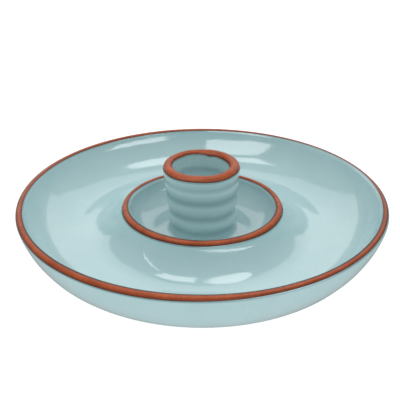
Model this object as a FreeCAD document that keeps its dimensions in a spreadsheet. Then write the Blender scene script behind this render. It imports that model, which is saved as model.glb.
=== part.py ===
"""Chip and dip server: a round terracotta dish with a raised dip well and a small cup in its middle.

Every section is turned about the Z axis. Z is up, the foot rests on Z = 0 and sizes are in millimetres.
Outlines are drawn in the plane of R (distance from the axis) and Z.
"""
import FreeCAD, Part
import os

import Sketcher

SIZES = {
    # thickness of the fired glaze on the clay
    "glaze": 0.5,
    # outer wall and its lip; the leans are how far its faces slope outwards at the lip, in degrees
    "overall_radius": 150.0,
    "rim_height": 46.5,
    "rim_lip": 3.0,
    "outer_lean": 12.7,
    "inner_lean": 7.8,
    "belly_curve": 67.5,
    "turn_curve": 36.5,
    # floor slab and foot
    "floor_height": 14.5,
    "base_height": 4.0,
    "foot_inset": 3.0,
    "foot_width": 12.0,
    "foot_round": 1.5,
    "seat_depth": 1.0,
    # collar between the chip trough and the dip well
    "collar_radius": 67.1,
    "collar_height": 36.7,
    "collar_lip": 3.1,
    # widths of the level floor left in the trough and in the well
    "trough_floor": 10.0,
    "well_floor": 9.7,
    # cup standing in the well
    "cup_radius": 31.3,
    "cup_height": 72.1,
    "cup_lip": 3.6,
    "cup_lean": 4.3,
    "cup_fillet": 3.5,
    "cup_floor_height": 20.5,
    "cup_floor_curve": 9.0,
    # how far each glaze climbs over a lip, in degrees above the lip's middle
    "outside_lap": 22.0,
    "trough_lap": 52.0,
    "well_lap": 51.0,
}

doc = FreeCAD.newDocument("ChipAndDipServer")
sheet = doc.addObject("Spreadsheet::Sheet", "Sizes")
for row, (alias, size) in enumerate(SIZES.items(), start=1):
    sheet.set(f"A{row}", alias)
    sheet.set(f"B{row}", str(size))
    sheet.setAlias(f"B{row}", alias)
doc.recompute()


def value(formula):
    """Number that a formula of sheet sizes gives now."""
    return float(sheet.evalExpression(formula))


def size(name):
    return f"Sizes.{name}"


def lip_middle(radius, lip, height):
    """Middle of a round lip whose glazed outer face has the given radius."""
    return (f"({size(radius)} - {size('glaze')} - {size(lip)})", size(height))


def cove(middle, lip, foot):
    """Hollow curve that leaves the level floor at R = foot and meets a lip smoothly.

    Gives its radius, its centre and the direction from the lip's middle to that centre.
    """
    run = f"({foot} - {middle[0]})"
    rise = f"({middle[1]} - {FLOOR})"
    curve = f"(({run} ^ 2 + {rise} ^ 2 - {lip} ^ 2) / (2 * ({rise} + {lip})))"
    direction = (f"({run} / ({curve} + {lip}))", f"(({curve} - {rise}) / ({curve} + {lip}))")
    return curve, (foot, f"({FLOOR} + {curve})"), direction


def away(point, direction, distance):
    """Point at a distance from another one along a direction."""
    across = f"({point[0]} + ({distance}) * {direction[0]})"
    up = f"({point[1]} + ({distance}) * {direction[1]})"
    return (across, up)


def slope(degrees, side=1):
    """Direction that rises by an angle, outwards (side 1) or towards the axis (side -1)."""
    return (f"({side} * cos({degrees}))", f"sin({degrees})")


GLAZE = size("glaze")
LIP = size("rim_lip")
COLLAR_LIP = size("collar_lip")
CUP_LIP = size("cup_lip")
FLOOR = size("floor_height")
GLAZED_FLOOR = f"({FLOOR} + {GLAZE})"
BASE = size("base_height")
SEAT = f"({FLOOR} - {size('seat_depth')})"
CUP_FLOOR = size("cup_floor_height")

# middles of the three lips
RIM = lip_middle("overall_radius", "rim_lip", "rim_height")
COLLAR = lip_middle("collar_radius", "collar_lip", "collar_height")
CUP = lip_middle("cup_radius", "cup_lip", "cup_height")

# outside of the wall: a wide belly curve below the lip, then a tighter turn on to the level underside
RIM_OUT = slope(f"-{size('outer_lean')}")
BELLY = away(RIM, RIM_OUT, f"{LIP} - {size('belly_curve')}")
TURN_Z = f"({BASE} + {size('turn_curve')})"
TURN_GAP = f"({size('belly_curve')} - {size('turn_curve')})"
TURN = (f"({BELLY[0]} + sqrt({TURN_GAP} ^ 2 - ({BELLY[1]} - {TURN_Z}) ^ 2))", TURN_Z)
TURN_OUT = (f"(({TURN[0]} - {BELLY[0]}) / {TURN_GAP})", f"(({TURN[1]} - {BELLY[1]}) / {TURN_GAP})")

# inside of the wall: one hollow curve from the lip, sloping there by its lean, down to the level floor
RIM_IN = slope(size("inner_lean"), side=-1)
TROUGH_CURVE = f"(({RIM[1]} - {FLOOR} + {LIP} * {RIM_IN[1]}) / (1 - {RIM_IN[1]}))"
TROUGH = (f"({RIM[0]} + ({TROUGH_CURVE} + {LIP}) * {RIM_IN[0]})", f"({FLOOR} + {TROUGH_CURVE})")

# cup: straight walls that lean out, a fillet round its foot and a rounded corner inside
CUP_OUT = slope(f"-{size('cup_lean')}")
CUP_IN = (f"(-{CUP_OUT[0]})", f"(-{CUP_OUT[1]})")
CUP_FOOT_Z = f"({FLOOR} + {size('cup_fillet')})"
CUP_CORNER_Z = f"({CUP_FLOOR} + {size('cup_floor_curve')})"


def beside_cup_wall(height, distance):
    """Point at a height, and at a distance from the line down the middle of the cup's wall."""
    drop = f"({CUP[1]} - {height})"
    middle = f"{CUP[0]} - {drop} * tan({size('cup_lean')})"
    return (f"({middle} + ({distance}) / cos({size('cup_lean')}))", height)


CUP_FOOT = beside_cup_wall(CUP_FOOT_Z, f"{CUP_LIP} + {size('cup_fillet')}")
CUP_CORNER = beside_cup_wall(CUP_CORNER_Z, f"-({CUP_LIP} + {size('cup_floor_curve')})")

# hollow curves on the collar's two sides, each starting where a level floor ends
FLANK_CURVE, FLANK, COLLAR_OUT = cove(COLLAR, COLLAR_LIP, f"({TROUGH[0]} - {size('trough_floor')})")
WELL_CURVE, WELL, COLLAR_IN = cove(COLLAR, COLLAR_LIP, f"({CUP_FOOT[0]} + {size('well_floor')})")


def line(start):
    """Edge that runs straight from start to the next edge's start."""
    return {"start": start, "centre": None}


def arc(start, centre, radius=None, clockwise=False):
    """Edge that runs round centre; with no radius, the height of its centre is what fixes it."""
    return {"start": start, "centre": centre, "radius": radius, "clockwise": clockwise}


def origin_plane(body, role):
    return next(plane for plane in body.Origin.OriginFeatures if plane.Role == role)


def bind(sketch, name, kind, points, formula):
    """Add a size to the sketch and tie it to the sheet."""
    index = sketch.addConstraint(Sketcher.Constraint(kind, *points, value(formula)))
    sketch.renameConstraint(index, name)
    sketch.setExpression(f"Constraints.{name}", formula)


def place(sketch, name, point, position):
    """Fix a point of the sketch at R and Z; a coordinate of "0" puts it on that axis."""
    for letter, kind, formula, axis in (
        ("R", "DistanceX", position[0], -2),
        ("Z", "DistanceY", position[1], -1),
    ):
        if formula == "0":
            sketch.addConstraint(Sketcher.Constraint("PointOnObject", *point, axis))
        else:
            bind(sketch, name + letter, kind, (-1, 1, *point), formula)


def draw_edge(sketch, edge, end):
    """Draw one edge; gives its number and which of its ends start and finish the edge."""
    first = FreeCAD.Vector(value(edge["start"][0]), value(edge["start"][1]), 0)
    last = FreeCAD.Vector(value(end[0]), value(end[1]), 0)
    if edge["centre"] is None:
        return sketch.addGeometry(Part.LineSegment(first, last)), 1, 2
    middle = FreeCAD.Vector(value(edge["centre"][0]), value(edge["centre"][1]), 0)
    circle = Part.Circle(middle, FreeCAD.Vector(0, 0, 1), (first - middle).Length)
    at_first = circle.parameter(first)
    at_last = circle.parameter(last)
    if edge["clockwise"]:
        return sketch.addGeometry(Part.ArcOfCircle(circle, at_last, at_first)), 2, 1
    return sketch.addGeometry(Part.ArcOfCircle(circle, at_first, at_last)), 1, 2


def turned(label, edges):
    """Body made by turning a closed outline once round the Z axis."""
    body = doc.addObject("PartDesign::Body", label)
    body.Label = label
    body.Placement = FreeCAD.Placement()
    sketch = body.newObject("Sketcher::SketchObject", f"{label}_outline")
    sketch.AttachmentSupport = [(origin_plane(body, "XZ_Plane"), "")]
    sketch.MapMode = "FlatFace"
    ends = edges[1:] + edges[:1]
    drawn = [draw_edge(sketch, edge, end["start"]) for edge, end in zip(edges, ends)]
    for index, edge in enumerate(edges):
        number, begin, _ = drawn[index]
        previous, _, finish = drawn[index - 1]
        sketch.addConstraint(Sketcher.Constraint("Coincident", previous, finish, number, begin))
        place(sketch, f"Corner{index}", (number, begin), edge["start"])
        if edge["centre"] is not None and edge["radius"] is not None:
            bind(sketch, f"Radius{index}", "Radius", (number,), edge["radius"])
        elif edge["centre"] is not None:
            bind(sketch, f"Middle{index}", "DistanceY", (-1, 1, number, 3), edge["centre"][1])
    revolution = body.newObject("PartDesign::Revolution", f"{label}_turned")
    revolution.Profile = sketch
    revolution.ReferenceAxis = (sketch, ["V_Axis"])
    revolution.Angle = 360.0
    body.Tip = revolution
    return body


def dish():
    """Floor slab and outer wall, with shallow seats where the collar and the cup are luted on."""
    return turned("dish", [
        line(("0", BASE)),
        arc((TURN[0], BASE), TURN, size("turn_curve")),
        arc(away(TURN, TURN_OUT, size("turn_curve")), BELLY, size("belly_curve")),
        line(away(RIM, RIM_OUT, LIP)),
        arc(away(RIM, RIM_IN, LIP), TROUGH, TROUGH_CURVE, clockwise=True),
        line((TROUGH[0], FLOOR)),
        line((FLANK[0], FLOOR)),
        line((FLANK[0], SEAT)),
        line((WELL[0], SEAT)),
        line((WELL[0], FLOOR)),
        line((CUP_FOOT[0], FLOOR)),
        line((CUP_FOOT[0], SEAT)),
        line(("0", SEAT)),
    ])


def foot_ring():
    """Bare ring under the slab that the server stands on, with rounded lower edges."""
    outer = f"({TURN[0]} - {size('foot_inset')})"
    inner = f"({outer} - {size('foot_width')})"
    edge = size("foot_round")
    return turned("foot_ring", [
        arc((f"({inner} + {edge})", "0"), (f"({inner} + {edge})", edge), edge, clockwise=True),
        line((inner, edge)),
        line((inner, BASE)),
        line((outer, BASE)),
        arc((outer, edge), (f"({outer} - {edge})", edge), edge, clockwise=True),
        line((f"({outer} - {edge})", "0")),
    ])


def round_lip(label, middle, lip, outwards, inwards):
    """Thick rounded edge on top of a wall, between the wall's outer and inner faces."""
    return turned(label, [
        arc(away(middle, outwards, lip), middle),
        line(away(middle, inwards, lip)),
    ])


def well_collar():
    """Ring wall between the trough and the well, hollow-curved on both sides."""
    return turned("well_collar", [
        line((WELL[0], SEAT)),
        line((FLANK[0], SEAT)),
        arc((FLANK[0], FLOOR), FLANK, FLANK_CURVE, clockwise=True),
        line(away(COLLAR, COLLAR_OUT, COLLAR_LIP)),
        arc(away(COLLAR, COLLAR_IN, COLLAR_LIP), WELL, WELL_CURVE, clockwise=True),
        line((WELL[0], FLOOR)),
    ])


def cup_body():
    """Thrown cup with its own floor, blended into the well's floor by a fillet."""
    fillet = size("cup_fillet")
    corner = size("cup_floor_curve")
    return turned("cup_body", [
        line(("0", SEAT)),
        line((CUP_FOOT[0], SEAT)),
        arc((CUP_FOOT[0], FLOOR), CUP_FOOT, fillet, clockwise=True),
        line(away(CUP_FOOT, CUP_IN, fillet)),
        line(away(CUP, CUP_OUT, CUP_LIP)),
        line(away(CUP, CUP_IN, CUP_LIP)),
        arc(away(CUP_CORNER, CUP_IN, f"-{corner}"), CUP_CORNER, corner, clockwise=True),
        line((CUP_CORNER[0], CUP_FLOOR)),
        line(("0", CUP_FLOOR)),
    ])


def outside_glaze():
    """Glaze on the outside of the wall, from over the lip down to the edge of the underside."""
    glazed_lip = f"({LIP} + {GLAZE})"
    glazed_turn = f"({size('turn_curve')} + {GLAZE})"
    glazed_belly = f"({size('belly_curve')} + {GLAZE})"
    top = slope(size("outside_lap"))
    return turned("outside_glaze", [
        arc((TURN[0], f"({BASE} - {GLAZE})"), TURN, glazed_turn),
        arc(away(TURN, TURN_OUT, glazed_turn), BELLY, glazed_belly),
        arc(away(RIM, RIM_OUT, glazed_lip), RIM, glazed_lip),
        line(away(RIM, top, glazed_lip)),
        arc(away(RIM, top, LIP), RIM, LIP, clockwise=True),
        arc(away(RIM, RIM_OUT, LIP), BELLY, size("belly_curve"), clockwise=True),
        arc(away(TURN, TURN_OUT, size("turn_curve")), TURN, size("turn_curve"), clockwise=True),
        line((TURN[0], BASE)),
    ])


def trough_glaze():
    """Glaze of the chip trough, from over the outer lip to the foot of the collar's bare lip."""
    glazed_lip = f"({LIP} + {GLAZE})"
    glazed_trough = f"({TROUGH_CURVE} - {GLAZE})"
    glazed_flank = f"({FLANK_CURVE} - {GLAZE})"
    top = slope(size("trough_lap"), side=-1)
    return turned("trough_glaze", [
        arc(away(RIM, top, LIP), RIM, LIP),
        arc(away(RIM, RIM_IN, LIP), TROUGH, TROUGH_CURVE, clockwise=True),
        line((TROUGH[0], FLOOR)),
        arc((FLANK[0], FLOOR), FLANK, FLANK_CURVE, clockwise=True),
        line(away(COLLAR, COLLAR_OUT, COLLAR_LIP)),
        arc(away(COLLAR, COLLAR_OUT, f"{COLLAR_LIP} + {GLAZE}"), FLANK, glazed_flank),
        line((FLANK[0], GLAZED_FLOOR)),
        arc((TROUGH[0], GLAZED_FLOOR), TROUGH, glazed_trough),
        arc(away(RIM, RIM_IN, glazed_lip), RIM, glazed_lip, clockwise=True),
        line(away(RIM, top, glazed_lip)),
    ])


def well_glaze():
    """Glaze of the dip well and the cup's outside, from over the collar's lip to the cup's bare lip."""
    glazed_lip = f"({COLLAR_LIP} + {GLAZE})"
    glazed_well = f"({WELL_CURVE} - {GLAZE})"
    fillet = size("cup_fillet")
    glazed_fillet = f"({fillet} - {GLAZE})"
    top = slope(size("well_lap"), side=-1)
    return turned("well_glaze", [
        arc(away(COLLAR, top, COLLAR_LIP), COLLAR, COLLAR_LIP),
        arc(away(COLLAR, COLLAR_IN, COLLAR_LIP), WELL, WELL_CURVE, clockwise=True),
        line((WELL[0], FLOOR)),
        arc((CUP_FOOT[0], FLOOR), CUP_FOOT, fillet, clockwise=True),
        line(away(CUP_FOOT, CUP_IN, fillet)),
        line(away(CUP, CUP_OUT, CUP_LIP)),
        line(away(CUP, CUP_OUT, f"{CUP_LIP} + {GLAZE}")),
        arc(away(CUP_FOOT, CUP_IN, glazed_fillet), CUP_FOOT, glazed_fillet),
        line((CUP_FOOT[0], GLAZED_FLOOR)),
        arc((WELL[0], GLAZED_FLOOR), WELL, glazed_well),
        arc(away(COLLAR, COLLAR_IN, glazed_lip), COLLAR, glazed_lip, clockwise=True),
        line(away(COLLAR, top, glazed_lip)),
    ])


def cup_glaze():
    """Glaze of the cup's inside, from its bare lip down over its floor."""
    corner = size("cup_floor_curve")
    glazed_corner = f"({corner} - {GLAZE})"
    return turned("cup_glaze", [
        line(("0", CUP_FLOOR)),
        arc((CUP_CORNER[0], CUP_FLOOR), CUP_CORNER, corner),
        line(away(CUP_CORNER, CUP_IN, f"-{corner}")),
        line(away(CUP, CUP_IN, CUP_LIP)),
        line(away(CUP, CUP_IN, f"{CUP_LIP} + {GLAZE}")),
        arc(away(CUP_CORNER, CUP_IN, f"-{glazed_corner}"), CUP_CORNER, glazed_corner, clockwise=True),
        line((CUP_CORNER[0], f"({CUP_FLOOR} + {GLAZE})")),
        line(("0", f"({CUP_FLOOR} + {GLAZE})")),
    ])


def check(bodies):
    """Stop before anything is written if an object failed or a body has no sound solid."""
    for item in doc.Objects:
        if "Invalid" in item.State or "Error" in item.State:
            raise RuntimeError(f"{item.Label} failed: {item.State}")
    for body in bodies:
        if body.Shape.isNull() or not body.Shape.isValid() or body.Shape.Volume <= 0:
            raise RuntimeError(f"{body.Label} has no sound solid")


bodies = [
    dish(),
    foot_ring(),
    round_lip("outer_rim", RIM, LIP, RIM_OUT, RIM_IN),
    well_collar(),
    round_lip("well_rim", COLLAR, COLLAR_LIP, COLLAR_OUT, COLLAR_IN),
    cup_body(),
    round_lip("cup_rim", CUP, CUP_LIP, CUP_OUT, CUP_IN),
    outside_glaze(),
    trough_glaze(),
    well_glaze(),
    cup_glaze(),
]
doc.recompute()
check(bodies)

os.makedirs("parts", exist_ok=True)
for body in bodies:
    body.Shape.exportStep(f"parts/{body.Label}.step")
    print(f"{body.Label}: {body.Shape.Volume / 1000:.2f} cm3")
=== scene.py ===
"""Chip and dip server of thrown red earthenware, glazed aqua with its three lips left bare.

Every piece is turned on the wheel axis from its own section, and then given the small unevenness
of hand work.
"""
import math
import random

import bmesh
import bpy
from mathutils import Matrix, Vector, noise
from mathutils.bvhtree import BVHTree


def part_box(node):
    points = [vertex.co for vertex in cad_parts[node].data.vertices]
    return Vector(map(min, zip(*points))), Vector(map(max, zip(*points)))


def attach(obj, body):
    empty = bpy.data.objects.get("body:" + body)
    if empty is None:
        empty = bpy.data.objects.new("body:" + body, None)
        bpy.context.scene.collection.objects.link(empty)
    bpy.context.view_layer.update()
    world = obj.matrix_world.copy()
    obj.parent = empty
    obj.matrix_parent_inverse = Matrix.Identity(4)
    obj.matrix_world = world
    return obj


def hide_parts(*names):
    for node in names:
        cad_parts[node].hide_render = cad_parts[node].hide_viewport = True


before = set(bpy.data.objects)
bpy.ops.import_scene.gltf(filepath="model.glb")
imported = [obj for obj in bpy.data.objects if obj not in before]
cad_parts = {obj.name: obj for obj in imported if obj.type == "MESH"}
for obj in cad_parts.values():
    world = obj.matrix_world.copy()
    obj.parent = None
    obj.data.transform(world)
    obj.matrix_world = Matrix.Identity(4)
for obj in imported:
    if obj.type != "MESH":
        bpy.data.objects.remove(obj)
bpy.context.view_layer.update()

MM = 0.001
WELD = 0.001 * MM
TURN = 2 * math.pi
SPOKES = 256
COARSE = 1

# a bend sharper than this is a corner, and one gentler than the arc's is part of a round
CORNER = math.radians(40)
ARC_CHORD = math.radians(32)
# softening of corners, and how far back from its edge a coat of glaze is stretched
SOFT_CORNER = 0.22 * MM
SLIDE_REACH = 6 * MM

DISH_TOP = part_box("outer_rim")[1].z
DISH_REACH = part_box("outer_rim")[1].x
COLLAR_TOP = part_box("well_rim")[1].z
COLLAR_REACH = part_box("well_rim")[1].x
CUP_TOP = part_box("cup_rim")[1].z
CUP_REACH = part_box("cup_rim")[1].x
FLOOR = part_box("trough_glaze")[0].z

hand = random.Random(12)


# ---------------------------------------------------------------- sections

def cut_outline(node):
    """Section of a turned solid beside the axis: its points in order, and whether they close into a ring."""
    solid = bmesh.new()
    solid.from_mesh(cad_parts[node].data)
    bmesh.ops.remove_doubles(solid, verts=solid.verts, dist=WELD)
    cut = bmesh.ops.bisect_plane(
        solid,
        geom=solid.verts[:] + solid.edges[:] + solid.faces[:],
        dist=WELD,
        plane_co=(0, 0, 0),
        plane_no=(0, 1, 0),
    )
    beside = {}
    for found in cut["geom_cut"]:
        if isinstance(found, bmesh.types.BMEdge) and min(v.co.x for v in found.verts) > -WELD:
            first, last = found.verts
            beside.setdefault(first, []).append(last)
            beside.setdefault(last, []).append(first)
    ends = [v for v in beside if len(beside[v]) == 1]
    walked = [ends[0] if ends else next(iter(beside))]
    onward = beside[walked[0]]
    while onward:
        walked.append(onward[0])
        onward = [v for v in beside[walked[-1]] if v not in walked]
    outline = [Vector((v.co.x, v.co.z)) for v in walked]
    solid.free()
    if ends and outline[0].x > WELD:
        outline.insert(0, Vector((0, outline[0].y)))
    if ends and outline[-1].x > WELD:
        outline.append(Vector((0, outline[-1].y)))
    return outline, not ends


def turn_between(before, after):
    """Angle from one direction to the next in the section, positive anticlockwise."""
    return math.atan2(before.x * after.y - before.y * after.x, before.dot(after))


def swung(direction, angle):
    """Direction turned by an angle in the section."""
    cosine, sine = math.cos(angle), math.sin(angle)
    return Vector((direction.x * cosine - direction.y * sine, direction.x * sine + direction.y * cosine))


def drawn_round(outline, closed, spacing):
    """Outline with the short chords of its arcs bent back into arcs, at an even spacing."""
    count = len(outline)
    runs = [outline[(i + 1) % count] - outline[i] for i in range(count if closed else count - 1)]
    smooth = []
    for i, run in enumerate(runs):
        bend = 0
        for j in (i - 1, i):
            if closed or 0 <= j < len(runs) - 1:
                before, after = runs[j], runs[(j + 1) % len(runs)]
                angle = turn_between(before, after)
                alike = abs(before.length - after.length) < 0.02 * after.length
                if alike and abs(angle) < ARC_CHORD:
                    bend = angle
        steps = max(1, math.ceil(run.length / spacing))
        for step in range(steps):
            share = step / steps
            if abs(bend) < 1e-4:
                smooth.append(outline[i] + run * share)
            else:
                reach = run.length * math.sin(share * bend / 2) / math.sin(bend / 2)
                smooth.append(outline[i] + swung(run.normalized(), (share - 1) * bend / 2) * reach)
    if not closed:
        smooth.append(outline[-1])
    return smooth


def lip_round(node):
    """Middle and radius of the round that a lip ends in."""
    outline = drawn_round(*cut_outline(node), spacing=0.4 * MM)
    top = max(range(len(outline)), key=lambda i: outline[i].y)
    start = outline[top - 3]
    first = outline[top] - start
    last = outline[(top + 3) % len(outline)] - start
    twice = 2 * (first.x * last.y - first.y * last.x)
    middle = start + Vector((
        (first.length_squared * last.y - last.length_squared * first.y) / twice,
        (last.length_squared * first.x - first.length_squared * last.x) / twice,
    ))
    return middle, (start - middle).length


# ---------------------------------------------------------------- hand work

def eased(value, low, high):
    """0 below low and 1 above high, with a smooth climb between them."""
    share = min(max((value - low) / (high - low), 0), 1)
    return share * share * (3 - 2 * share)


def hand_waves(size, counts):
    """A slow wave round the wheel: its swings per turn, sizes and starting angles."""
    waves = []
    for count in counts:
        depth = size / math.sqrt(count) * hand.uniform(0.6, 1)
        waves.append((count, depth, hand.uniform(0, TURN)))
    return waves


def wave_at(waves, angle):
    """Height of a wave at an angle round the wheel."""
    return sum(size * math.sin(count * angle + start) for count, size, start in waves)


def wave_reach(waves):
    """Most that a wave can rise."""
    return sum(size for count, size, start in waves)


def swell(count, size, most_at):
    """One slow swing round the wheel, highest at an angle given in degrees."""
    return (count, size, math.radians(90 - count * most_at))


# how the lips and the cup swing from true: up and down (HEIGHT), and in and out (ROUND)
RIM_HEIGHT = [swell(1, 0.18 * MM, 120), swell(3, 0.04 * MM, 15)]
RIM_ROUND = [swell(2, 0.50 * MM, 45)]
# the whole rim is trimmed by this much, so that its swings stay inside the true size
RIM_TRIM = 0.06 * MM
COLLAR_HEIGHT = hand_waves(0.22 * MM, (1, 2, 3, 5, 7))
COLLAR_ROUND = hand_waves(0.20 * MM, (2, 3, 5))
CUP_HEIGHT = hand_waves(0.22 * MM, (2, 3, 4, 7))
CUP_ROUND = hand_waves(0.24 * MM, (2, 3, 4, 6))

CUP_MIDDLE, CUP_LIP = lip_round("cup_rim")
# the cup leans to one side, and its mouth is drawn out a little towards another
CUP_LEAN = -1.0 * MM
CUP_BULGE = 0.06
CUP_BULGE_TOWARDS = math.radians(-50)
CUP_EDGE = CUP_REACH + 5 * MM

# throwing ridges round the outside of the cup
RIDGE_PITCH = 14.2 * MM
RIDGE_CREST = 58.0 * MM
RIDGE_SIZE = 0.48 * MM
RIDGE_TILT = 0.35


def cup_share(reach):
    """How far a point belongs to the cup, by its distance from the axis."""
    return 1 - eased(reach, CUP_EDGE, CUP_EDGE + 6 * MM)


def collar_share(reach):
    """How far a point belongs to the collar, by its distance from the axis."""
    past_cup = eased(reach, CUP_EDGE, CUP_EDGE + 12 * MM)
    return past_cup * (1 - eased(reach, COLLAR_REACH, COLLAR_REACH + 22 * MM))


def ridge_phase(height, angle):
    """Where a point of the cup's wall lies between two ridges, a whole turn apart."""
    return TURN * (height - RIDGE_CREST) / RIDGE_PITCH + RIDGE_TILT * math.sin(angle + 0.6)


def glaze_pooled_and_shade(place):
    """How far the glaze has run into pools at a point, from 0 on open walls to 1 between the ridges, with
    painted shade on the well's floor and round the foot of the collar.
    """
    reach = math.hypot(place.x, place.y)
    angle = math.atan2(place.y, place.x)
    # painted shade: the floor of the well darkened to half, where the cup and collar shade it
    in_well = 1 - eased(reach, COLLAR_REACH - 24 * MM, COLLAR_REACH - 12 * MM)
    in_well *= eased(reach, CUP_REACH - 12 * MM, CUP_REACH - 9 * MM)
    on_floor = 1 - eased(place.z, FLOOR + 2 * MM, FLOOR + 9 * MM)
    outside_cup = eased(reach, CUP_REACH - 9 * MM, CUP_REACH - 7 * MM) * cup_share(reach)
    below_lip = 1 - eased(place.z, CUP_TOP - 14 * MM, CUP_TOP - 8 * MM)
    # glaze run into the grooves between the throwing ridges, darker there partly as painted shade
    between = (0.5 - 0.5 * math.cos(ridge_phase(place.z, angle))) * outside_cup * below_lip
    # painted shade round the foot of the collar, where it shades the trough
    foot_of_collar = (1 - eased(abs(reach - COLLAR_REACH - 12 * MM), 4 * MM, 16 * MM)) * 0.25
    return max(0.5 * in_well * on_floor, between ** 1.5, foot_of_collar * lifted(place.z))


def lifted(height):
    """1 for what stands above the foot, 0 underneath."""
    return eased(height, 5 * MM, 20 * MM)


def throwing_ridge(height, angle):
    """Swell of the cup's wall at a height, left by the fingers."""
    below_lip = CUP_TOP - CUP_LIP * 2
    fade = eased(height, FLOOR + 1 * MM, FLOOR + 9 * MM)
    fade *= 1 - eased(height, below_lip - 9 * MM, below_lip)
    phase = ridge_phase(height, angle)
    return RIDGE_SIZE * fade * (math.cos(phase) - 0.3)


def by_hand(place):
    """Where a point of the perfect shape lies on the hand-made one."""
    reach = math.hypot(place.x, place.y)
    angle = math.atan2(place.y, place.x)
    height = place.z
    lift = lifted(height)

    outer = eased(reach, COLLAR_REACH + 22 * MM, DISH_REACH - 6 * MM)
    drop = outer * (wave_reach(RIM_HEIGHT) - wave_at(RIM_HEIGHT, angle)) * height / DISH_TOP
    inward = outer * (RIM_TRIM - wave_at(RIM_ROUND, angle)) * lift

    collar = collar_share(reach)
    sunk = wave_reach(COLLAR_HEIGHT) - wave_at(COLLAR_HEIGHT, angle)
    drop += collar * sunk * height / COLLAR_TOP * lift
    inward -= collar * wave_at(COLLAR_ROUND, angle) * eased(height, FLOOR, COLLAR_TOP)

    ripple = noise.noise(Vector((place.x, place.y, 0)) * 55)
    rings = math.sin(reach / (1.5 * MM) + 2 * math.sin(angle * 2))
    wall = eased(reach, DISH_REACH - 30 * MM, DISH_REACH - 12 * MM)
    wall *= 1 - eased(reach, DISH_REACH - 5 * MM, DISH_REACH - 3 * MM)
    inward += wall * lift * (0.14 * MM * ripple + 0.02 * MM * rings)
    flat = (1 - wall) * (1 - eased(reach, DISH_REACH - 12 * MM, DISH_REACH - 5 * MM)) * lift
    drop += flat * (0.10 * MM * ripple + 0.015 * MM * rings)

    cup = cup_share(reach)
    climb = eased(height, FLOOR + 1 * MM, CUP_TOP)
    drop += cup * climb * (wave_reach(CUP_HEIGHT) - wave_at(CUP_HEIGHT, angle))
    wall_share = cup * eased(reach, 12 * MM, 22 * MM)
    inward -= wall_share * (climb * wave_at(CUP_ROUND, angle) + throwing_ridge(height, angle))
    from_lip = math.hypot(reach - CUP_MIDDLE.x, height - CUP_MIDDLE.y)
    near_lip = cup * (1 - eased(from_lip, CUP_LIP, CUP_LIP * 3))
    inward -= near_lip * (reach - CUP_MIDDLE.x) * CUP_BULGE * (1 + math.cos(angle - CUP_BULGE_TOWARDS))

    kept = (reach - inward) / reach if reach > WELD else 1
    return Vector((place.x * kept + cup * climb * CUP_LEAN, place.y * kept, height - drop))


# ---------------------------------------------------------------- turning

def turned(name, node, spacing, finish, slide=None):
    """Piece turned once round the axis from its node's section, softened and made uneven by hand.

    slide gives how far the edge of a coat of glaze runs on at each angle, for each of its edges in turn."""
    outline, closed = cut_outline(node)
    outline = drawn_round(outline, closed, spacing * COARSE)
    count = len(outline)
    corners = []
    lengths = []
    for i in range(count):
        ahead = outline[(i + 1) % count] - outline[i]
        behind = outline[i] - outline[i - 1]
        inside = closed or 0 < i < count - 1
        lengths.append(ahead.length if closed or i < count - 1 else 0)
        corners.append(inside and abs(turn_between(behind, ahead)) > CORNER)

    def from_corner(start, way):
        """Distance along the outline to the next corner that way, and that corner."""
        gone, at = 0, start
        for step in range(count):
            if corners[at]:
                return gone, at
            onward = (at + way) % count
            if not closed and abs(onward - at) > 1:
                break
            gone += lengths[at if way > 0 else onward]
            at = onward
        return 1.0, start

    shape = bmesh.new()
    edge_gap = shape.verts.layers.float.new("edge_gap")
    edge_way = shape.verts.layers.float_vector.new("edge_way")
    verts = []
    for i, point in enumerate(outline):
        vert = shape.verts.new((point.x, 0, point.y))
        ahead, corner_ahead = from_corner(i, 1)
        behind, corner_behind = from_corner(i, -1)
        tangent = (outline[(i + 1) % count] - outline[i - 1]).normalized()
        if corners[i]:
            before = (outline[i] - outline[i - 1]).normalized()
            after = (outline[(i + 1) % count] - outline[i]).normalized()
            tangent = before if corners[(i + 1) % count] else -after
        elif behind < ahead:
            tangent = -tangent
        vert[edge_gap] = min(ahead, behind)
        vert[edge_way] = (tangent.x, 0, tangent.y)
        verts.append(vert)
    edges = [shape.edges.new((verts[i], verts[i + 1])) for i in range(count - 1)]
    if closed:
        edges.append(shape.edges.new((verts[-1], verts[0])))
    bmesh.ops.spin(
        shape, geom=verts + edges, cent=(0, 0, 0), axis=(0, 0, 1), angle=TURN, steps=SPOKES, use_merge=True
    )
    bmesh.ops.remove_doubles(shape, verts=shape.verts, dist=WELD)
    bmesh.ops.recalc_face_normals(shape, faces=shape.faces)
    if slide:
        for vert in shape.verts:
            pull = 1 - eased(vert[edge_gap], 0, SLIDE_REACH)
            if pull:
                angle = math.atan2(vert.co.y, vert.co.x)
                reach = math.hypot(vert.co.x, vert.co.y)
                run = slide(reach, vert.co.z, angle) * pull
                way = vert[edge_way]
                vert.co += Vector((way.x * math.cos(angle), way.x * math.sin(angle), way.z)) * run
    sharp = [e for e in shape.edges if len(e.link_faces) == 2 and e.calc_face_angle() > CORNER]
    bmesh.ops.bevel(
        shape, geom=sharp, offset=SOFT_CORNER, offset_type="OFFSET", affect="EDGES",
        segments=3, profile=0.5, clamp_overlap=True, material=-1,
    )
    # glaze pooling together with painted shade, written on each point
    pooled_and_shade = shape.verts.layers.float.new("pooled_and_shade")
    for vert in shape.verts:
        vert[pooled_and_shade] = glaze_pooled_and_shade(vert.co)
        vert.co = by_hand(vert.co)
    bmesh.ops.recalc_face_normals(shape, faces=shape.faces)
    for face in shape.faces:
        face.smooth = True
    mesh = bpy.data.meshes.new(name)
    shape.to_mesh(mesh)
    shape.free()
    mesh.materials.append(finish)
    piece = bpy.data.objects.new(name, mesh)
    bpy.context.scene.collection.objects.link(piece)
    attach(piece, "root")
    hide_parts(node)
    return piece


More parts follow.
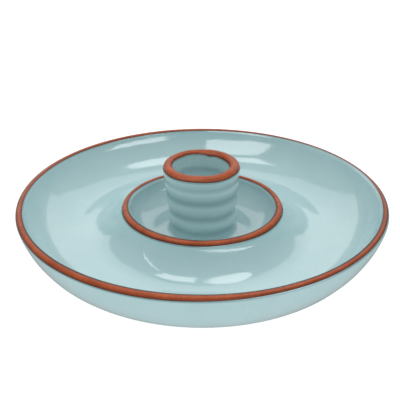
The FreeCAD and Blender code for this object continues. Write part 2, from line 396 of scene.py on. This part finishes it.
def mark_gap(clay, glazes):
    """Writes on a bare piece how far each of its points is from the nearest glaze."""
    trees = []
    for glaze in glazes:
        shape = bmesh.new()
        shape.from_mesh(glaze.data)
        trees.append(BVHTree.FromBMesh(shape))
        shape.free()
    gaps = clay.data.attributes.new("glaze_gap", "FLOAT", "POINT")
    for vert in clay.data.vertices:
        gaps.data[vert.index].value = min(tree.find_nearest(vert.co)[3] for tree in trees)


# ---------------------------------------------------------------- finishes

def wire(tree, source, target):
    """Joins an output to an input."""
    tree.links.new(source, target)


def new_finish(name):
    """Empty finish with its shader, joined to the output."""
    finish = bpy.data.materials.new(name)
    finish.use_nodes = True
    tree = finish.node_tree
    shader = tree.nodes["Principled BSDF"]
    return finish, tree, shader


def clouds(tree, where, scale, detail=4, roughness=0.5, distortion=0.0):
    """Cloudy pattern over the clay, 0 to 1."""
    node = tree.nodes.new("ShaderNodeTexNoise")
    node.inputs["Scale"].default_value = scale
    node.inputs["Detail"].default_value = detail
    node.inputs["Roughness"].default_value = roughness
    node.inputs["Distortion"].default_value = distortion
    wire(tree, where, node.inputs["Vector"])
    return node.outputs["Fac"]


def stretched(tree, value, low, high, out_low=0.0, out_high=1.0):
    """Value spread from one range to another, held at its ends."""
    node = tree.nodes.new("ShaderNodeMapRange")
    node.inputs["From Min"].default_value = low
    node.inputs["From Max"].default_value = high
    node.inputs["To Min"].default_value = out_low
    node.inputs["To Max"].default_value = out_high
    wire(tree, value, node.inputs["Value"])
    return node.outputs["Result"]


def blended(tree, share, under, over, how="MIX"):
    """One colour laid over another by a share."""
    node = tree.nodes.new("ShaderNodeMix")
    node.data_type = "RGBA"
    node.blend_type = how
    wire(tree, share, node.inputs[0])
    for socket, colour in ((node.inputs[6], under), (node.inputs[7], over)):
        if isinstance(colour, tuple):
            socket.default_value = (*colour, 1)
        else:
            wire(tree, colour, socket)
    return node.outputs[2]


def swelling(tree, height, depth, strength=1.0, under=None):
    """Relief of a given depth, over another relief."""
    node = tree.nodes.new("ShaderNodeBump")
    node.inputs["Strength"].default_value = strength
    node.inputs["Distance"].default_value = depth
    wire(tree, height, node.inputs["Height"])
    if under:
        wire(tree, under, node.inputs["Normal"])
    return node.outputs["Normal"]


def marked(tree, name):
    """Value written on the piece's own points."""
    node = tree.nodes.new("ShaderNodeAttribute")
    node.attribute_name = name
    return node.outputs["Fac"]


def specks(tree, where, scale, size):
    """Small scattered dots, 1 in a dot."""
    node = tree.nodes.new("ShaderNodeTexVoronoi")
    node.inputs["Scale"].default_value = scale
    node.inputs["Randomness"].default_value = 1
    wire(tree, where, node.inputs["Vector"])
    return stretched(tree, node.outputs["Distance"], size, size * 0.55)


AQUA = (0.375, 0.544, 0.562)
AQUA_PALE = (0.400, 0.572, 0.590)
AQUA_POOLED_AND_SHADED = (0.245, 0.385, 0.400)
AQUA_DEEP = (0.120, 0.245, 0.262)
CLAY_RED = (0.280, 0.052, 0.014)
CLAY_ORANGE = (0.420, 0.088, 0.026)
CLAY_DARK = (0.085, 0.019, 0.008)
CLAY_GROG = (0.46, 0.20, 0.11)


def aqua_glaze():
    """Glossy aqua glaze in soft clouds of tone, darker at its ends as painted shade beside the bare lips and
    darker in its hollows partly as painted shade, with pinholes and slow ripples.
    """
    finish, tree, shader = new_finish("aqua_glaze")
    where = tree.nodes.new("ShaderNodeTexCoord").outputs["Object"]
    tone = stretched(tree, clouds(tree, where, 28, 5, 0.55), 0.3, 0.7)
    colour = blended(tree, tone, AQUA, AQUA_PALE)
    # deeper aqua where the glaze pools, partly painted shade on the well's floor, between the ridges and
    # round the collar
    pooling_and_shade = stretched(tree, marked(tree, "pooled_and_shade"), 0, 1)
    colour = blended(tree, pooling_and_shade, colour, AQUA_POOLED_AND_SHADED)
    mottle = stretched(tree, clouds(tree, where, 260, 3), 0.35, 0.75, 0.0, 0.04)
    colour = blended(tree, mottle, colour, AQUA_DEEP)
    # painted shade: a dark line of deeper aqua within 1.6 mm of where the glaze ends against the bare lips
    edge = stretched(tree, marked(tree, "edge_gap"), 1.6 * MM, 0.3 * MM, 0.0, 0.85)
    colour = blended(tree, edge, colour, AQUA_DEEP)
    pinholes = specks(tree, where, 170, 0.055)
    sparse = stretched(tree, clouds(tree, where, 90, 1), 0.52, 0.60)
    shown = tree.nodes.new("ShaderNodeMath")
    shown.operation = "MULTIPLY"
    wire(tree, pinholes, shown.inputs[0])
    wire(tree, sparse, shown.inputs[1])
    colour = blended(tree, shown.outputs[0], colour, AQUA_DEEP)
    wire(tree, colour, shader.inputs["Base Color"])
    wire(tree, stretched(tree, clouds(tree, where, 45, 3), 0.3, 0.7, 0.06, 0.14), shader.inputs["Roughness"])
    ripples = swelling(tree, clouds(tree, where, 42, 2), 0.45 * MM, 0.6)
    ripples = swelling(tree, clouds(tree, where, 700, 2), 0.02 * MM, 0.5, ripples)
    ripples = swelling(tree, shown.outputs[0], -0.08 * MM, 0.8, ripples)
    wire(tree, ripples, shader.inputs["Normal"])
    shader.inputs["IOR"].default_value = 1.7
    return finish


def bare_terracotta():
    """Fired red clay: mottled, finely grained, a little waxy, and darker near the glaze, partly a line where
    the glaze's edge has bled and partly painted shade on the rounded sides of the lips.
    """
    finish, tree, shader = new_finish("bare_terracotta")
    where = tree.nodes.new("ShaderNodeTexCoord").outputs["Object"]
    colour = blended(tree, stretched(tree, clouds(tree, where, 75, 6, 0.6), 0.3, 0.7), CLAY_RED, CLAY_ORANGE)
    flecks = stretched(tree, clouds(tree, where, 900, 4, 0.65), 0.50, 0.72, 0.0, 0.45)
    colour = blended(tree, flecks, colour, CLAY_DARK)
    grog = specks(tree, where, 420, 0.10)
    colour = blended(tree, stretched(tree, grog, 0, 1, 0, 0.35), colour, CLAY_GROG)
    # painted shade: the clay darkens over the last 2.4 mm towards the glaze on each side of a lip, partly a
    # bled line of glaze and partly shade on the lip's rounded sides
    bleed_and_shade = stretched(tree, marked(tree, "glaze_gap"), 2.4 * MM, 0.0, 0.0, 0.92)
    colour = blended(tree, bleed_and_shade, colour, CLAY_DARK)
    wire(tree, colour, shader.inputs["Base Color"])
    wire(tree, stretched(tree, clouds(tree, where, 300, 4), 0.3, 0.7, 0.24, 0.38), shader.inputs["Roughness"])
    relief = swelling(tree, clouds(tree, where, 90, 3), 0.35 * MM, 0.5)
    relief = swelling(tree, clouds(tree, where, 1500, 4, 0.6), 0.05 * MM, 0.6, relief)
    wire(tree, relief, shader.inputs["Normal"])
    shader.inputs["Specular IOR Level"].default_value = 0.20
    return finish


# ---------------------------------------------------------------- edges of the glaze

RIM_LINE_IN = [swell(1, 0.70 * MM, 315), swell(2, 0.65 * MM, 20)] + hand_waves(0.16 * MM, (3, 5, 8, 13))
RIM_LINE_OUT = [swell(2, 0.95 * MM, 322)] + hand_waves(0.16 * MM, (3, 6, 9, 14))
COLLAR_LINE_IN = [swell(1, 0.80 * MM, 235)] + hand_waves(0.18 * MM, (3, 5, 8, 11))
COLLAR_LINE_OUT = [swell(2, 0.55 * MM, 100)] + hand_waves(0.14 * MM, (3, 6, 9))
# the glaze of the trough stops this much lower on the collar all round
COLLAR_BARE = 0.95 * MM
CUP_LINE_IN = [swell(1, 1.00 * MM, 160)] + hand_waves(0.22 * MM, (2, 3, 5, 8))
CUP_LINE_OUT = hand_waves(0.22 * MM, (2, 3, 5, 7))

# place on the cup's lip where the inside glaze was wiped back
WIPED_AT = math.radians(73)
WIPED_WIDTH = math.radians(9)
WIPED_RUN = 1.1 * MM


def outside_edge(reach, height, angle):
    """Run of the outside glaze up to the rim."""
    return wave_at(RIM_LINE_OUT, angle) if height > FLOOR else 0


def trough_edge(reach, height, angle):
    """Run of the trough's glaze, up to the rim or up to the collar."""
    if reach > (DISH_REACH + COLLAR_REACH) / 2:
        return wave_at(RIM_LINE_IN, angle)
    return wave_at(COLLAR_LINE_OUT, angle) - COLLAR_BARE


def well_edge(reach, height, angle):
    """Run of the well's glaze, up to the collar or up to the cup's lip."""
    return wave_at(COLLAR_LINE_IN if reach > CUP_EDGE else CUP_LINE_OUT, angle)


def cup_edge(reach, height, angle):
    """Run of the cup's inside glaze, with one place where it was wiped back from the lip."""
    wiped = WIPED_RUN * math.exp(-(((angle - WIPED_AT) / WIPED_WIDTH) ** 2))
    return wave_at(CUP_LINE_IN, angle) - wiped


# ---------------------------------------------------------------- the server

glaze = aqua_glaze()
clay = bare_terracotta()

outside = turned("outside_coat", "outside_glaze", 1.1 * MM, glaze, outside_edge)
trough = turned("trough_coat", "trough_glaze", 1.1 * MM, glaze, trough_edge)
well = turned("well_coat", "well_glaze", 1.0 * MM, glaze, well_edge)
inside = turned("cup_coat", "cup_glaze", 1.0 * MM, glaze, cup_edge)

dish = turned("dish_clay", "dish", 2.5 * MM, clay)
foot = turned("foot_clay", "foot_ring", 0.8 * MM, clay)
collar = turned("collar_clay", "well_collar", 2.5 * MM, clay)
cup = turned("cup_clay", "cup_body", 2.0 * MM, clay)
rim = turned("rim_clay", "outer_rim", 0.5 * MM, clay)
collar_lip = turned("collar_lip_clay", "well_rim", 0.5 * MM, clay)
cup_lip = turned("cup_lip_clay", "cup_rim", 0.5 * MM, clay)
mark_gap(dish, [outside])
mark_gap(foot, [outside])
mark_gap(rim, [outside, trough])
mark_gap(collar_lip, [trough, well])
mark_gap(cup_lip, [well, inside])


# ---------------------------------------------------------------- studio

# gap that keeps the sweep and the foot ring's underside from sharing a plane
UNDER_FOOT = 0.1 * MM
# how much dimmer the light is from the side of the camera, and how bright the sweep looks in the gloss
FRONT_DIMMED = 0.76
SWEEP_MIRRORED = 0.38


def pale_floor():
    """Plain white sweep that the server stands on."""
    shape = bmesh.new()
    bmesh.ops.create_grid(shape, x_segments=8, y_segments=8, size=4)
    bmesh.ops.translate(shape, verts=shape.verts, vec=(0, 0, -UNDER_FOOT))
    mesh = bpy.data.meshes.new("sweep")
    shape.to_mesh(mesh)
    shape.free()
    finish, tree, shader = new_finish("white_paper")
    shader.inputs["Base Color"].default_value = (0.30, 0.30, 0.30, 1)
    shader.inputs["Roughness"].default_value = 0.9
    shader.inputs["Specular IOR Level"].default_value = 0
    shader.inputs["Emission Color"].default_value = (1, 1, 1, 1)
    shader.inputs["Emission Strength"].default_value = 0.84
    mesh.materials.append(finish)
    floor = bpy.data.objects.new("sweep", mesh)
    bpy.context.scene.collection.objects.link(floor)
    floor.visible_diffuse = False
    floor.visible_glossy = False


def soft_box(name, middle, facing, width, height, brightness, shape="RECTANGLE"):
    """Lamp with a plain white face looking one way, whose brightness is that of its face.

    It is there for the gloss: the air of the studio does the lighting."""
    lamp = bpy.data.lights.new(name, "AREA")
    lamp.shape = shape
    lamp.size = width
    lamp.size_y = height
    lamp.energy = brightness * math.pi * width * height
    light = bpy.data.objects.new(name, lamp)
    light.location = middle
    light.rotation_euler = Vector(facing).to_track_quat("-Z", "Y").to_euler()
    light.visible_diffuse = False
    light.visible_camera = False
    bpy.context.scene.collection.objects.link(light)
    return light


def studio_air(below, level, overhead, mirrored):
    """White light from all round, set from below, at eye level and overhead, and as the gloss mirrors it."""
    air = bpy.data.worlds.new("studio_air")
    air.use_nodes = True
    tree = air.node_tree
    background = tree.nodes["Background"]
    background.inputs["Color"].default_value = (1, 1, 1, 1)
    way = tree.nodes.new("ShaderNodeSeparateXYZ")
    wire(tree, tree.nodes.new("ShaderNodeTexCoord").outputs["Generated"], way.inputs["Vector"])
    height = way.outputs["Z"]
    total = tree.nodes.new("ShaderNodeMath")
    total.operation = "ADD"
    wire(tree, stretched(tree, height, -0.12, 0.12, below, level), total.inputs[0])
    wire(tree, stretched(tree, height, 0.12, 0.90, 0, overhead - level), total.inputs[1])
    front = tree.nodes.new("ShaderNodeMath")
    front.operation = "MULTIPLY"
    wire(tree, total.outputs[0], front.inputs[0])
    wire(tree, stretched(tree, way.outputs["Y"], -0.9, 0.3, FRONT_DIMMED, 1.0), front.inputs[1])
    wire(tree, front.outputs[0], background.inputs["Strength"])
    room = tree.nodes.new("ShaderNodeBackground")
    room.inputs["Color"].default_value = (1, 1, 1, 1)
    wire(tree, stretched(tree, height, -0.05, 0.05, SWEEP_MIRRORED, mirrored), room.inputs["Strength"])
    either = tree.nodes.new("ShaderNodeMixShader")
    wire(tree, tree.nodes.new("ShaderNodeLightPath").outputs["Is Glossy Ray"], either.inputs[0])
    wire(tree, background.outputs[0], either.inputs[1])
    wire(tree, room.outputs[0], either.inputs[2])
    wire(tree, either.outputs[0], tree.nodes["World Output"].inputs["Surface"])
    bpy.context.scene.world = air


def set_camera():
    """Camera a little above the table, looking down at the server."""
    lens = bpy.data.cameras.new("camera")
    lens.lens = 56.4
    lens.sensor_width = 36
    camera = bpy.data.objects.new("camera", lens)
    camera.location = (-0.002, -0.4653, 0.2783)
    camera.rotation_euler = (math.radians(63.01), 0, 0)
    bpy.context.scene.collection.objects.link(camera)
    bpy.context.scene.camera = camera


pale_floor()
studio_air(below=1.72, level=0.78, overhead=1.52, mirrored=0.44)
soft_box("backdrop", (0, 1.50, 1.95), (0, -1, 0), 3.2, 2.9, 0.94)
soft_box("left_top_box", (-0.165, 0.005, 0.65), (0, 0, -1), 0.24, 0.17, 3.6)
soft_box("right_top_box", (0.170, 0.040, 0.65), (0, 0, -1), 0.30, 0.28, 3.0, "ELLIPSE")
soft_box("left_card", (-0.088, -0.075, 0.260), (0, 1, 0), 0.166, 0.34, 3.6)
soft_box("right_window", (0.46, -0.72, 0.160), (-0.54, 0.84, 0), 1.50, 0.26, 3.2, "ELLIPSE")
set_camera()
bpy.context.scene.view_settings.view_transform = "Standard"
